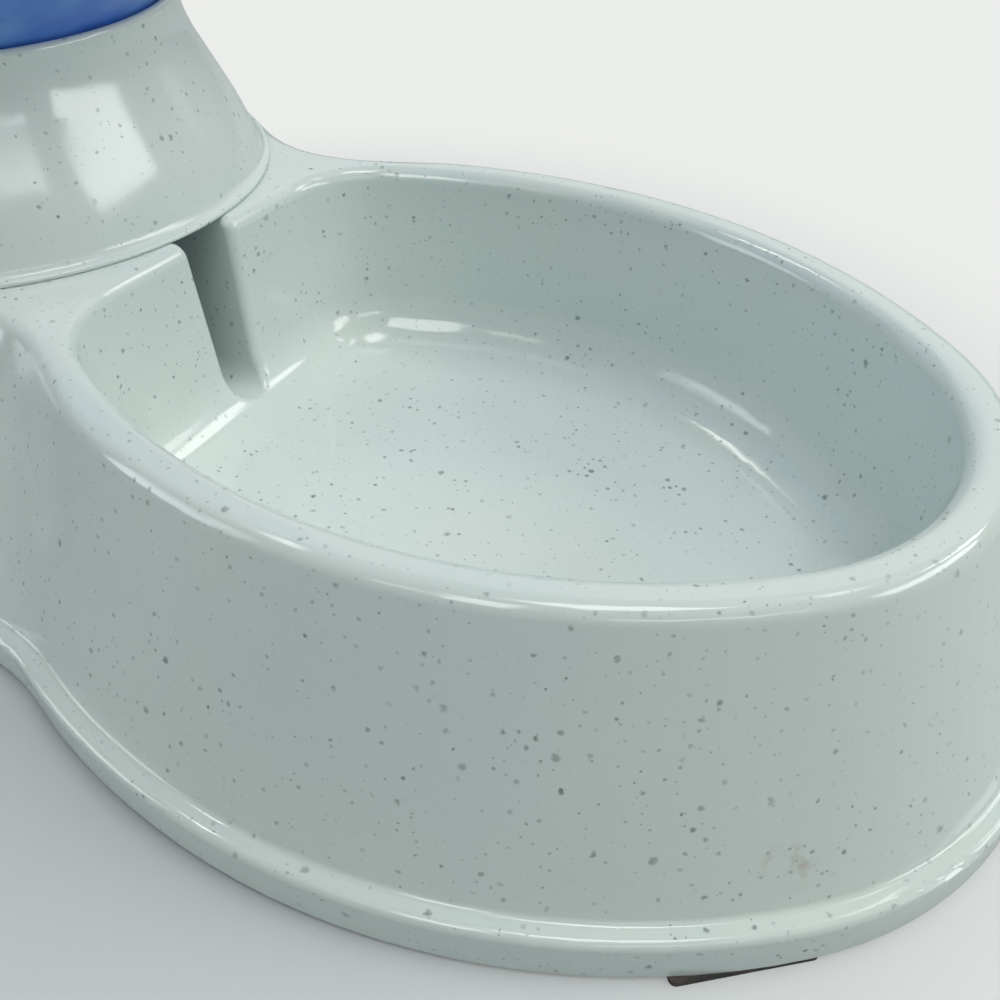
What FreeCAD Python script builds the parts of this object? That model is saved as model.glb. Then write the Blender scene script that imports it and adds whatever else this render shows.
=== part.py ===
import FreeCAD, Part
import math
import os

# A gravity water dispenser for cats and dogs, in millimetres.
# A one-piece moulded base carries an oval drinking bowl and a round well joined by a channel slot.
# A bell-shaped collar stands over the well and holds an upturned bottle whose screw cap has a valve.
# The front of the bowl faces -Y, the bottle stands at +Y, and Z = 0 is the surface the pads rest on.

Vector = FreeCAD.Vector
UP = Vector(0, 0, 1)

# Plan of the base at the deck: a three-centred oval, a waist and the round lobe under the bottle
BOWL_HALF_WIDTH = 86.7
BOWL_REACH = 118.5
FRONT_RADIUS = 66.0
REAR_SIDE_RADIUS = 165.0
WELL_DISTANCE = 168.7
LOBE_RADIUS = 83.0
WAIST_START_ANGLE = 19.5
WAIST_END_ANGLE = 13.0
WAIST_HANDLE = 18.0
DECK_WAIST_DEPTH = 36.7
WALL_FOOT_WAIST_DEPTH = 13.7
FLANGE_WAIST_DEPTH = 14.6
WAIST_FRONT_DISTANCE = 95.0
WAIST_REAR_DISTANCE = 110.0

# Section of the base
PAD_THICKNESS = 1.5
DECK_HEIGHT = 75.0
WALL_SPREAD = 21.0
WALL_FOOT_ROUND = 1.6
FLANGE_WIDTH = 4.9
FLANGE_HEIGHT = 11.0
FLANGE_ROUND = 2.0
RIM_ROUND = 4.4
SKIN = 3.0

# Drinking bowl
RIM_WIDTH = 9.5
BOWL_FLOOR_HEIGHT = 20.5
BOWL_DRAFT = 5.0
BOWL_FLOOR_ROUND = 18.0
REAR_WALL_DISTANCE = 87.0
BOWL_CORNER_RADIUS = 28.0

# Well under the bottle and the channel slot that feeds the bowl
WELL_RADIUS = 58.0
WELL_DRAFT = 2.0
WELL_FLOOR_ROUND = 6.0
SLOT_SIDE_DRAFT = 2.5
SLOT_FOOT_RADIUS = 6.0
SLOT_FLOOR_HEIGHT = 25.0
SLOT_EDGE_ROUND = 3.0
POST_RADIUS = 4.0
POST_FOOT_RADIUS = 6.5
POST_FIN_COUNT = 3
POST_FIN_REACH = 14.0
POST_FIN_THICKNESS = 2.0
POST_FIN_SHARE = 0.7
UPSTAND_WIDTH = 2.5
UPSTAND_HEIGHT = 4.0
UPSTAND_CLEARANCE = 0.4

# Ribs below the bowl and the pads under the flange
RIB_THICKNESS = 2.2
RIB_LIFT = 4.0
CROSS_RIB_PITCH = 62.0
CROSS_RIB_COUNT = 2
PAD_LENGTH = 31.0
PAD_WIDTH = 12.0
PAD_CORNER = 1.5
PAD_MARGIN = 1.0
FRONT_PAD_ANGLE = 51.5
FRONT_PAD_TURN = 3.0
REAR_PAD_ANGLE = 45.0

# Collar
COLLAR_FOOT_RADIUS = 78.8
COLLAR_FOOT_THICKNESS = 1.4
COLLAR_FOOT_HOLLOW = 2.6
COLLAR_RADIUS = 75.5
COLLAR_HEIGHT = 48.4
COLLAR_TOP_RADIUS = 59.8
COLLAR_WALL = 3.0
COLLAR_BELLY_RADIUS = 68.8
COLLAR_BELLY_HEIGHT = 24.7
COLLAR_NECK_RADIUS = 57.0
COLLAR_NECK_HEIGHT = 37.5

# Bottle
BOTTLE_RADIUS = 76.0
BOTTLE_TOP_HEIGHT = 330.0
BOTTLE_WALL = 1.8
BOTTLE_TOP_ROUND = 20.0
BOTTLE_PUSH_UP = 5.0
BOTTLE_PUSH_UP_RADIUS = 46.0
SHOULDER_TOP_HEIGHT = 156.0
SHOULDER_ANGLE = 37.0
SHOULDER_HANDLE = 18.0
NECK_RADIUS = 24.0
NECK_WALL = 2.2
NECK_TOP_HEIGHT = 79.0
NECK_HANDLE = 16.0
NECK_BEAD_RADIUS = 27.0
NECK_BEAD_THICKNESS = 2.0
SEAT_CLEARANCE = 0.3

# Screw cap and its gasket
CAP_BOTTOM_HEIGHT = 52.0
CAP_PLATE = 2.5
CAP_WALL = 2.4
CAP_SKIRT_HEIGHT = 20.0
CAP_NECK_CLEARANCE = 0.5
CAP_EDGE_ROUND = 1.2
CAP_RIB_COUNT = 24
CAP_RIB_RADIUS = 0.9
VALVE_HOLE_RADIUS = 8.0
VALVE_SEAT_HEIGHT = 1.0
VALVE_SEAT_WIDTH = 2.0
GASKET_THICKNESS = 2.0

# Valve inside the cap
VALVE_LIFT = 4.0
POST_ENTRY = 2.0
SEAL_THICKNESS = 1.6
SEAL_RADIUS = 12.5
SEAL_HOLE_CLEARANCE = 0.2
HEAD_RADIUS = 13.0
HEAD_THICKNESS = 3.0
STEM_RADIUS = 3.2
STEM_FIN_COUNT = 4
STEM_FIN_THICKNESS = 1.6
STEM_FIN_LIFT = 0.8
STEM_CLEARANCE = 0.4
PIN_RADIUS = 2.5
PIN_CLEARANCE = 0.3
PIN_OVERRUN = 3.0
SPRING_HEIGHT = 15.0
SPRING_RADIUS = 5.2
SPRING_WIRE = 1.0
SPRING_WIRE_SIDES = 8
SPRING_TURNS = 4.5
SPRING_PLAY = 0.1
CAGE_RADIUS = 19.5
CAGE_RING_WIDTH = 3.0
CAGE_RING_THICKNESS = 2.0
CAGE_HUB_RADIUS = 8.5
CAGE_TOP_THICKNESS = 2.5
CAGE_ARM_COUNT = 3
CAGE_ARM_WIDTH = 4.0
CAGE_LEG_INSET = 0.5

# Places that follow from the driving dimensions
FLANGE_SPREAD = WALL_SPREAD + FLANGE_WIDTH
FRONT_REACH = BOWL_REACH + FLANGE_SPREAD
REAR_REACH = LOBE_RADIUS + FLANGE_SPREAD
OVERALL_LENGTH = FRONT_REACH + WELL_DISTANCE + REAR_REACH
BOWL_Y = FRONT_REACH - OVERALL_LENGTH / 2.0
WELL_Y = BOWL_Y + WELL_DISTANCE
REAR_WALL_Y = BOWL_Y + REAR_WALL_DISTANCE
FLANGE_TOP = PAD_THICKNESS + FLANGE_HEIGHT
WALL_LEAN = WALL_SPREAD / (DECK_HEIGHT - FLANGE_TOP)
COLLAR_FLANK_HEIGHT = COLLAR_FOOT_THICKNESS + COLLAR_FOOT_HOLLOW
COLLAR_LEAN = (COLLAR_RADIUS - COLLAR_BELLY_RADIUS) / (COLLAR_BELLY_HEIGHT - COLLAR_FLANK_HEIGHT)
COLLAR_TOP = DECK_HEIGHT + COLLAR_HEIGHT
LIP_RADIUS = COLLAR_WALL / 2.0
CAP_PLATE_TOP = CAP_BOTTOM_HEIGHT + CAP_PLATE
MOUTH_HEIGHT = CAP_PLATE_TOP + GASKET_THICKNESS
POST_TOP = CAP_BOTTOM_HEIGHT - POST_ENTRY
SEAL_BOTTOM = CAP_PLATE_TOP + VALVE_SEAT_HEIGHT + VALVE_LIFT
HEAD_BOTTOM = SEAL_BOTTOM + SEAL_THICKNESS
HEAD_TOP = HEAD_BOTTOM + HEAD_THICKNESS
CAGE_TOP_BOTTOM = HEAD_TOP + SPRING_HEIGHT
CAGE_TOP = CAGE_TOP_BOTTOM + CAGE_TOP_THICKNESS

# Centres of the oval's arcs, from the rule that neighbouring arcs share a tangent
FRONT_CENTRE = BOWL_REACH - FRONT_RADIUS
SIDE_RADIUS = (BOWL_HALF_WIDTH ** 2 + FRONT_CENTRE ** 2 - FRONT_RADIUS ** 2) / (
    2.0 * (BOWL_HALF_WIDTH - FRONT_RADIUS)
)
SIDE_CENTRE = SIDE_RADIUS - BOWL_HALF_WIDTH
REAR_SIDE_CENTRE = REAR_SIDE_RADIUS - BOWL_HALF_WIDTH
FRONT_HALF_ANGLE = math.degrees(math.atan2(SIDE_CENTRE, FRONT_CENTRE))


def on_circle(centre_x, centre_y, radius, angle_deg, height):
    """Point of a level circle at an angle from +X."""
    angle = math.radians(angle_deg)
    return Vector(centre_x + radius * math.cos(angle), centre_y + radius * math.sin(angle), height)


def arc(centre_x, centre_y, radius, start_deg, end_deg, height):
    """Level arc between two angles from +X."""
    circle = Part.Circle(Vector(centre_x, centre_y, height), UP, radius)
    return Part.ArcOfCircle(circle, math.radians(start_deg), math.radians(end_deg)).toShape()


def smooth(poles):
    """Smooth edge drawn by its poles."""
    curve = Part.BezierCurve()
    curve.setPoles(poles)
    return curve.toShape()


def line(start, end):
    """Straight edge."""
    return Part.LineSegment(start, end).toShape()


def across(point):
    """The same point on the other side of the middle plane."""
    return Vector(-point.x, point.y, point.z)


def oval_front(spread, height):
    """Front arc of the oval, grown by a spread."""
    return arc(
        0, BOWL_Y - FRONT_CENTRE, FRONT_RADIUS + spread,
        -90.0 - FRONT_HALF_ANGLE, -90.0 + FRONT_HALF_ANGLE, height,
    )


def oval_flank(spread, end_angle, height):
    """The two arcs on the +X flank of the oval, from the front arc round to an angle behind."""
    return [
        arc(-SIDE_CENTRE, BOWL_Y, SIDE_RADIUS + spread, -90.0 + FRONT_HALF_ANGLE, 0.0, height),
        arc(-REAR_SIDE_CENTRE, BOWL_Y, REAR_SIDE_RADIUS + spread, 0.0, end_angle, height),
    ]


def oval_far_flank(spread, end_angle, height):
    """The two arcs on the -X flank, from behind round to the front arc."""
    return [
        arc(REAR_SIDE_CENTRE, BOWL_Y, REAR_SIDE_RADIUS + spread, 180.0 - end_angle, 180.0, height),
        arc(SIDE_CENTRE, BOWL_Y, SIDE_RADIUS + spread, 180.0, 270.0 - FRONT_HALF_ANGLE, height),
    ]


def waisted_outline(spread, depth, height):
    """Plan of the base at one height, grown by a spread, with its waist drawn in by a depth."""
    pull = BOWL_HALF_WIDTH + spread - depth
    start = math.radians(WAIST_START_ANGLE)
    end = math.radians(WAIST_END_ANGLE)
    leave = on_circle(
        -REAR_SIDE_CENTRE, BOWL_Y, REAR_SIDE_RADIUS + spread, WAIST_START_ANGLE, height
    )
    join = on_circle(0, WELL_Y, LOBE_RADIUS + spread, -WAIST_END_ANGLE, height)
    poles = [
        leave,
        leave + Vector(-math.sin(start), math.cos(start), 0) * WAIST_HANDLE,
        Vector(pull, BOWL_Y + WAIST_FRONT_DISTANCE, height),
        Vector(pull, BOWL_Y + WAIST_REAR_DISTANCE, height),
        join - Vector(math.sin(end), math.cos(end), 0) * WAIST_HANDLE,
        join,
    ]
    edges = [oval_front(spread, height)]
    edges += oval_flank(spread, WAIST_START_ANGLE, height)
    edges.append(smooth(poles))
    edges.append(
        arc(0, WELL_Y, LOBE_RADIUS + spread, -WAIST_END_ANGLE, 180.0 + WAIST_END_ANGLE, height)
    )
    edges.append(smooth([across(pole) for pole in reversed(poles)]))
    edges += oval_far_flank(spread, WAIST_START_ANGLE, height)
    return Part.Wire(edges)


def deck_outline(inset, height):
    """Outline of the base where its wall meets the deck."""
    return waisted_outline(-inset, DECK_WAIST_DEPTH, height)


def wall_foot_outline(inset, height):
    """Outline of the base where its wall meets the flange."""
    return waisted_outline(WALL_SPREAD - inset, WALL_FOOT_WAIST_DEPTH, height)


def flange_outline(inset, height):
    """Outline of the flange that the base stands on."""
    return waisted_outline(FLANGE_SPREAD - inset, FLANGE_WAIST_DEPTH, height)


def bowl_outline(inset, height):
    """Plan of the bowl's inside: the oval cut off by a flat rear wall with round corners."""
    spread = -RIM_WIDTH - inset
    corner_radius = BOWL_CORNER_RADIUS - inset
    corner_y = REAR_WALL_Y - BOWL_CORNER_RADIUS
    centre_gap = REAR_SIDE_RADIUS - RIM_WIDTH - BOWL_CORNER_RADIUS
    corner_x = math.sqrt(centre_gap ** 2 - (corner_y - BOWL_Y) ** 2) - REAR_SIDE_CENTRE
    corner_angle = math.degrees(math.asin((corner_y - BOWL_Y) / centre_gap))
    flat_end = Vector(corner_x, REAR_WALL_Y - inset, height)
    edges = [oval_front(spread, height)]
    edges += oval_flank(spread, corner_angle, height)
    edges.append(arc(corner_x, corner_y, corner_radius, corner_angle, 90.0, height))
    edges.append(line(flat_end, across(flat_end)))
    edges.append(arc(-corner_x, corner_y, corner_radius, 90.0, 180.0 - corner_angle, height))
    edges += oval_far_flank(spread, corner_angle, height)
    return Part.Wire(edges)


def solid_between(low_outline, high_outline):
    """Solid whose wall runs straight from one outline up to another."""
    return Part.makeLoft([low_outline, high_outline], True, True)


def upright_solid(outline, low, high):
    """Upright solid on an outline drawn at height low."""
    return Part.Face(outline).extrude(Vector(0, 0, high - low))


def edges_at_height(shape, height):
    """Edges of a shape that lie wholly at one height."""
    found = []
    for edge in shape.Edges:
        bounds = edge.BoundBox
        if abs(bounds.ZMin - height) < 0.01 and abs(bounds.ZMax - height) < 0.01:
            found.append(edge)
    return found


def turned(edges):
    """Solid turned about the bottle's axis from the edges of a closed profile in the middle plane."""
    return Part.Face(Part.Wire(edges)).revolve(Vector(0, WELL_Y, 0), UP, 360)


def at(radius, height):
    """Point of a turned profile."""
    return Vector(0, WELL_Y + radius, height)


def polygon_edges(points):
    """Straight edges through the points and back to the first."""
    return [line(start, end) for start, end in zip(points, points[1:] + points[:1])]


def cylinder(radius, low, high):
    """Upright cylinder about the bottle's axis."""
    return Part.makeCylinder(radius, high - low, Vector(0, WELL_Y, low), UP)


def ring(outer_radius, inner_radius, low, high):
    """Upright ring about the bottle's axis."""
    return cylinder(outer_radius, low, high).cut(cylinder(inner_radius, low, high))


def block(x_low, x_high, y_low, y_high, z_low, z_high):
    """Upright block between six planes."""
    corner = Vector(x_low, y_low, z_low)
    return Part.makeBox(x_high - x_low, y_high - y_low, z_high - z_low, corner)


def around_axis(shape, angle_deg):
    """A shape made about the Z axis, turned by an angle and moved to the bottle's axis."""
    copy = shape.copy()
    copy.rotate(Vector(0, 0, 0), UP, angle_deg)
    copy.translate(Vector(0, WELL_Y, 0))
    return copy


def outer_body():
    """The base from outside, before it is hollowed: flange, drafted wall and deck."""
    flange = upright_solid(flange_outline(0.0, PAD_THICKNESS), PAD_THICKNESS, FLANGE_TOP)
    flange = flange.makeFillet(FLANGE_ROUND, edges_at_height(flange, FLANGE_TOP))
    foot = wall_foot_outline(0.0, FLANGE_TOP)
    wall = solid_between(foot, deck_outline(0.0, DECK_HEIGHT))
    wall = wall.makeFillet(RIM_ROUND, edges_at_height(wall, DECK_HEIGHT))
    body = flange.fuse(wall)
    corner = [edge for edge in edges_at_height(body, FLANGE_TOP) if edge.distToShape(foot)[0] < 0.01]
    return body.makeFillet(WALL_FOOT_ROUND, corner)


def bowl_space(grow):
    """The bowl's inside, or its outer form when it is grown by the skin."""
    floor = BOWL_FLOOR_HEIGHT - grow
    space = solid_between(bowl_outline(BOWL_DRAFT - grow, floor), bowl_outline(-grow, DECK_HEIGHT))
    return space.makeFillet(BOWL_FLOOR_ROUND + grow, edges_at_height(space, floor))


def well_space(grow):
    """The well's inside, or its outer form when it is grown by the skin."""
    floor = BOWL_FLOOR_HEIGHT - grow
    foot_radius = WELL_RADIUS - WELL_DRAFT + grow
    profile = [at(0, floor), at(foot_radius, floor), at(WELL_RADIUS + grow, DECK_HEIGHT), at(0, DECK_HEIGHT)]
    space = turned(polygon_edges(profile))
    return space.makeFillet(WELL_FLOOR_ROUND + grow, edges_at_height(space, floor))


def slot_space(grow):
    """The channel slot from the bowl to the well, or its outer form when it is grown by the skin."""
    draft = math.radians(SLOT_SIDE_DRAFT)
    foot_radius = SLOT_FOOT_RADIUS + grow
    centre_height = SLOT_FLOOR_HEIGHT + SLOT_FOOT_RADIUS
    foot_x = foot_radius * math.cos(draft)
    foot_height = centre_height - foot_radius * math.sin(draft)
    top_height = DECK_HEIGHT + UPSTAND_HEIGHT * (1.0 - grow / SKIN)
    top_x = foot_x + (top_height - foot_height) * math.tan(draft)
    front_y = REAR_WALL_Y - BOWL_DRAFT - BOWL_FLOOR_ROUND
    rear_y = WELL_Y - WELL_RADIUS + WELL_DRAFT + WELL_FLOOR_ROUND
    right_foot = Vector(foot_x, front_y, foot_height)
    right_top = Vector(top_x, front_y, top_height)
    bottom = Vector(0, front_y, centre_height - foot_radius)
    section = Part.Wire([
        line(across(right_top), across(right_foot)),
        Part.Arc(across(right_foot), bottom, right_foot).toShape(),
        line(right_foot, right_top),
        line(right_top, across(right_top)),
    ])
    return Part.Face(section).extrude(Vector(0, rear_y - front_y, 0))


def front_pad_place():
    """Point of the flange's flank edge over a front pad, and the way that pad faces."""
    angle_deg = FRONT_PAD_ANGLE - 90.0
    edge_radius = SIDE_RADIUS + FLANGE_SPREAD
    return on_circle(-SIDE_CENTRE, BOWL_Y, edge_radius, angle_deg, 0), angle_deg - FRONT_PAD_TURN


def rear_pad_place():
    """Point of the flange's rear edge over a rear pad, and the way that pad faces."""
    angle_deg = 90.0 - REAR_PAD_ANGLE
    return on_circle(0, WELL_Y, REAR_REACH, angle_deg, 0), angle_deg


PAD_PLACES = {
    "foot_front_right": (front_pad_place(), 1),
    "foot_front_left": (front_pad_place(), -1),
    "foot_rear_right": (rear_pad_place(), 1),
    "foot_rear_left": (rear_pad_place(), -1),
}


def pad_block(place, side, margin, low, high):
    """Rectangular block under the flange, its outer face touching the flange's edge."""
    middle, facing_deg = place
    half_length = PAD_LENGTH / 2.0 + margin
    body = block(-PAD_WIDTH - margin, 0.0, -half_length, half_length, low, high)
    upright = [edge for edge in body.Edges if edge.BoundBox.ZLength > (high - low) / 2.0]
    body = body.makeFillet(PAD_CORNER, upright)
    body.rotate(Vector(0, 0, 0), UP, facing_deg)
    body.translate(middle)
    if side < 0:
        body = body.mirror(Vector(0, 0, 0), Vector(1, 0, 0))
    return body


def ribs():
    """Upright ribs across the hollow under the bowl."""
    low = PAD_THICKNESS + RIB_LIFT
    half = RIB_THICKNESS / 2.0
    width = BOWL_HALF_WIDTH + FLANGE_SPREAD
    places = [
        BOWL_Y + (index - (CROSS_RIB_COUNT - 1) / 2.0) * CROSS_RIB_PITCH for index in range(CROSS_RIB_COUNT)
    ]
    return [block(-width, width, place - half, place + half, low, DECK_HEIGHT) for place in places]


def under_space():
    """The hollow under the base, open at the bottom, around the bowl, the well and the slot."""
    low = upright_solid(flange_outline(SKIN, 0.0), 0.0, FLANGE_TOP - SKIN)
    # The wall's inside is drawn one skin lower than its outside, and this inset keeps its thickness
    inset = SKIN * (math.hypot(1.0, WALL_LEAN) - WALL_LEAN)
    foot = wall_foot_outline(inset, FLANGE_TOP - SKIN)
    high = solid_between(foot, deck_outline(inset, DECK_HEIGHT - SKIN))
    space = low.fuse(high)
    keep = [bowl_space(SKIN), well_space(SKIN), slot_space(SKIN)] + ribs()
    for place, side in PAD_PLACES.values():
        keep.append(pad_block(place, side, PAD_MARGIN, 0.0, FLANGE_TOP))
    return space.cut(keep)


def post():
    """Post on the well's floor that holds the valve open, with fins round its foot."""
    low = BOWL_FLOOR_HEIGHT - SKIN / 2.0
    profile = [at(0, low), at(POST_FOOT_RADIUS, low), at(POST_RADIUS, POST_TOP), at(0, POST_TOP)]
    shape = turned(polygon_edges(profile))
    fin_top = low + (POST_TOP - low) * POST_FIN_SHARE
    half = POST_FIN_THICKNESS / 2.0
    corners = [
        Vector(0, -half, low),
        Vector(POST_FIN_REACH, -half, low),
        Vector(POST_RADIUS, -half, fin_top),
        Vector(0, -half, fin_top),
    ]
    fin = Part.Face(Part.Wire(polygon_edges(corners))).extrude(Vector(0, POST_FIN_THICKNESS, 0))
    fins = [around_axis(fin, 90.0 + index * 360.0 / POST_FIN_COUNT) for index in range(POST_FIN_COUNT)]
    return shape.fuse(fins)


def collar_inner_radius(height):
    """The collar's inside radius near its foot, at a height above the deck."""
    return COLLAR_RADIUS - COLLAR_WALL - COLLAR_LEAN * (height - COLLAR_FLANK_HEIGHT)


def slot_mouth_edges(shape):
    """Edges where the channel slot opens through the bowl's rear wall."""
    half_width = SLOT_FOOT_RADIUS + SKIN
    front_y = REAR_WALL_Y - BOWL_DRAFT - BOWL_FLOOR_ROUND
    found = []
    for edge in shape.Edges:
        bounds = edge.BoundBox
        inside_slot = bounds.XMin > -half_width and bounds.XMax < half_width
        short = bounds.YLength < RIM_WIDTH
        if inside_slot and short and front_y < bounds.YMin < REAR_WALL_Y + 1.0:
            found.append(edge)
    return found


def base():
    """One-piece moulded base."""
    shape = outer_body().cut(bowl_space(0.0))
    rim = [edge for edge in edges_at_height(shape, DECK_HEIGHT) if edge.BoundBox.YMax < REAR_WALL_Y + 1.0]
    shape = shape.makeFillet(RIM_ROUND, rim)
    slot = slot_space(0.0)
    shape = shape.cut(slot)
    shape = shape.makeFillet(SLOT_EDGE_ROUND, slot_mouth_edges(shape))
    outside = collar_inner_radius(UPSTAND_HEIGHT) - UPSTAND_CLEARANCE
    upstand = ring(outside, outside - UPSTAND_WIDTH, DECK_HEIGHT - SKIN / 2.0, DECK_HEIGHT + UPSTAND_HEIGHT)
    shape = shape.fuse(upstand.cut(slot))
    shape = shape.cut([under_space(), well_space(0.0)])
    return shape.fuse(post())


def collar():
    """Bell-shaped collar: a shell with an ogee flank, a rounded lip and a flared foot on the deck."""
    outer = [
        at(COLLAR_RADIUS, DECK_HEIGHT + COLLAR_FLANK_HEIGHT),
        at(COLLAR_BELLY_RADIUS, DECK_HEIGHT + COLLAR_BELLY_HEIGHT),
        at(COLLAR_NECK_RADIUS, DECK_HEIGHT + COLLAR_NECK_HEIGHT),
        at(COLLAR_TOP_RADIUS, COLLAR_TOP - LIP_RADIUS),
    ]
    inner = [point - Vector(0, COLLAR_WALL, 0) for point in reversed(outer)]
    lip_crest = at(COLLAR_TOP_RADIUS - LIP_RADIUS, COLLAR_TOP)
    foot_round = COLLAR_FOOT_THICKNESS / 2.0
    foot_inner = at(COLLAR_RADIUS - COLLAR_WALL + COLLAR_LEAN * COLLAR_FLANK_HEIGHT, DECK_HEIGHT)
    foot_outer = at(COLLAR_FOOT_RADIUS - foot_round, DECK_HEIGHT)
    foot_crest = at(COLLAR_FOOT_RADIUS, DECK_HEIGHT + foot_round)
    foot_top = at(COLLAR_FOOT_RADIUS - foot_round, DECK_HEIGHT + COLLAR_FOOT_THICKNESS)
    hollow = at(COLLAR_RADIUS + COLLAR_LEAN * COLLAR_FOOT_HOLLOW, DECK_HEIGHT + COLLAR_FOOT_THICKNESS)
    edges = [
        smooth(outer),
        Part.Arc(outer[-1], lip_crest, inner[0]).toShape(),
        smooth(inner),
        line(inner[-1], foot_inner),
        line(foot_inner, foot_outer),
        Part.Arc(foot_outer, foot_crest, foot_top).toShape(),
        smooth([foot_top, hollow, outer[0]]),
    ]
    return turned(edges)


def bottle():
    """Upturned bottle: neck, bead, flared shoulder, body and a base with a shallow push-up."""
    slope = math.radians(SHOULDER_ANGLE)
    along = Vector(0, math.sin(slope), math.cos(slope))
    lip_centre = at(COLLAR_TOP_RADIUS - LIP_RADIUS, COLLAR_TOP - LIP_RADIUS)
    away = Vector(0, -math.cos(slope), math.sin(slope))
    seat = lip_centre + away * (LIP_RADIUS + SEAT_CLEARANCE)
    bead_low = NECK_TOP_HEIGHT - 2.0 * NECK_BEAD_THICKNESS
    bead_high = bead_low + NECK_BEAD_THICKNESS
    top = BOTTLE_TOP_HEIGHT
    round_low = at(BOTTLE_RADIUS, top - BOTTLE_TOP_ROUND)
    round_high = at(BOTTLE_RADIUS - BOTTLE_TOP_ROUND, top)
    inward = BOTTLE_TOP_ROUND * (1.0 - math.sqrt(0.5))
    round_middle = at(BOTTLE_RADIUS - inward, top - inward)
    shoulder_top = at(BOTTLE_RADIUS, SHOULDER_TOP_HEIGHT)
    neck_top = at(NECK_RADIUS, NECK_TOP_HEIGHT)
    handle = Vector(0, 0, NECK_HANDLE)
    outer = [
        line(at(NECK_RADIUS, MOUTH_HEIGHT), at(NECK_RADIUS, bead_low)),
        line(at(NECK_RADIUS, bead_low), at(NECK_BEAD_RADIUS, bead_low)),
        line(at(NECK_BEAD_RADIUS, bead_low), at(NECK_BEAD_RADIUS, bead_high)),
        line(at(NECK_BEAD_RADIUS, bead_high), at(NECK_RADIUS, bead_high)),
        line(at(NECK_RADIUS, bead_high), neck_top),
        smooth([neck_top, neck_top + handle, seat - along * SHOULDER_HANDLE, seat]),
        smooth([seat, seat + along * SHOULDER_HANDLE, shoulder_top - handle, shoulder_top]),
        line(shoulder_top, round_low),
        Part.Arc(round_low, round_middle, round_high).toShape(),
        line(round_high, at(BOTTLE_PUSH_UP_RADIUS, top)),
        smooth([at(BOTTLE_PUSH_UP_RADIUS, top), at(BOTTLE_PUSH_UP_RADIUS / 2.0, top - BOTTLE_PUSH_UP),
                at(0, top - BOTTLE_PUSH_UP)]),
    ]
    wall = Vector(0, -BOTTLE_WALL, 0)
    drop = Vector(0, 0, -BOTTLE_WALL)
    inner_seat = seat + away * BOTTLE_WALL
    inner_neck = at(NECK_RADIUS - NECK_WALL, NECK_TOP_HEIGHT)
    inner_shoulder = shoulder_top + wall
    inner_middle = round_middle + (wall + drop) * math.sqrt(0.5)
    inner_high = round_high + drop
    push_edge = at(BOTTLE_PUSH_UP_RADIUS, top) + drop
    push_middle = at(BOTTLE_PUSH_UP_RADIUS / 2.0, top - BOTTLE_PUSH_UP) + drop
    push_centre = at(0, top - BOTTLE_PUSH_UP) + drop
    inner = [
        line(at(0, top - BOTTLE_PUSH_UP), push_centre),
        smooth([push_centre, push_middle, push_edge]),
        line(push_edge, inner_high),
        Part.Arc(inner_high, inner_middle, round_low + wall).toShape(),
        line(round_low + wall, inner_shoulder),
        smooth([inner_shoulder, inner_shoulder - handle, inner_seat + along * SHOULDER_HANDLE, inner_seat]),
        smooth([inner_seat, inner_seat - along * SHOULDER_HANDLE, inner_neck + handle, inner_neck]),
        line(inner_neck, at(NECK_RADIUS - NECK_WALL, MOUTH_HEIGHT)),
        line(at(NECK_RADIUS - NECK_WALL, MOUTH_HEIGHT), at(NECK_RADIUS, MOUTH_HEIGHT)),
    ]
    return turned(outer + inner)


def bottle_cap():
    """Screw cap with grip ribs, a hole for the valve's stem and a raised seat round the hole."""
    inner_radius = NECK_RADIUS + CAP_NECK_CLEARANCE
    outer_radius = inner_radius + CAP_WALL
    top = CAP_BOTTOM_HEIGHT + CAP_SKIRT_HEIGHT
    shape = cylinder(outer_radius, CAP_BOTTOM_HEIGHT, top)
    shape = shape.makeFillet(CAP_EDGE_ROUND, edges_at_height(shape, CAP_BOTTOM_HEIGHT))
    grip = [
        Part.makeCylinder(
            CAP_RIB_RADIUS, CAP_SKIRT_HEIGHT - 2.0 * CAP_EDGE_ROUND,
            on_circle(0, WELL_Y, outer_radius, index * 360.0 / CAP_RIB_COUNT, CAP_BOTTOM_HEIGHT + CAP_EDGE_ROUND),
        )
        for index in range(CAP_RIB_COUNT)
    ]
    shape = shape.fuse(grip)
    shape = shape.cut(cylinder(inner_radius, CAP_PLATE_TOP, top))
    seat_top = CAP_PLATE_TOP + VALVE_SEAT_HEIGHT
    shape = shape.fuse(cylinder(VALVE_HOLE_RADIUS + VALVE_SEAT_WIDTH, CAP_BOTTOM_HEIGHT, seat_top))
    return shape.cut(cylinder(VALVE_HOLE_RADIUS, CAP_BOTTOM_HEIGHT, seat_top))


def cap_gasket():
    """Flat ring between the bottle's mouth and the cap's plate."""
    return ring(NECK_RADIUS, NECK_RADIUS - NECK_WALL, CAP_PLATE_TOP, MOUTH_HEIGHT)


def valve_plunger():
    """Plunger: finned stem below, round head, and a guide pin above."""
    shape = cylinder(STEM_RADIUS, POST_TOP, HEAD_BOTTOM)
    fin_reach = VALVE_HOLE_RADIUS - STEM_CLEARANCE
    half = STEM_FIN_THICKNESS / 2.0
    fin = block(0.0, fin_reach, -half, half, POST_TOP + STEM_FIN_LIFT, HEAD_BOTTOM)
    fins = [around_axis(fin, index * 360.0 / STEM_FIN_COUNT) for index in range(STEM_FIN_COUNT)]
    head = cylinder(HEAD_RADIUS, HEAD_BOTTOM, HEAD_TOP)
    pin = cylinder(PIN_RADIUS, HEAD_TOP, CAGE_TOP + PIN_OVERRUN)
    return shape.fuse(fins + [head, pin])


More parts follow.
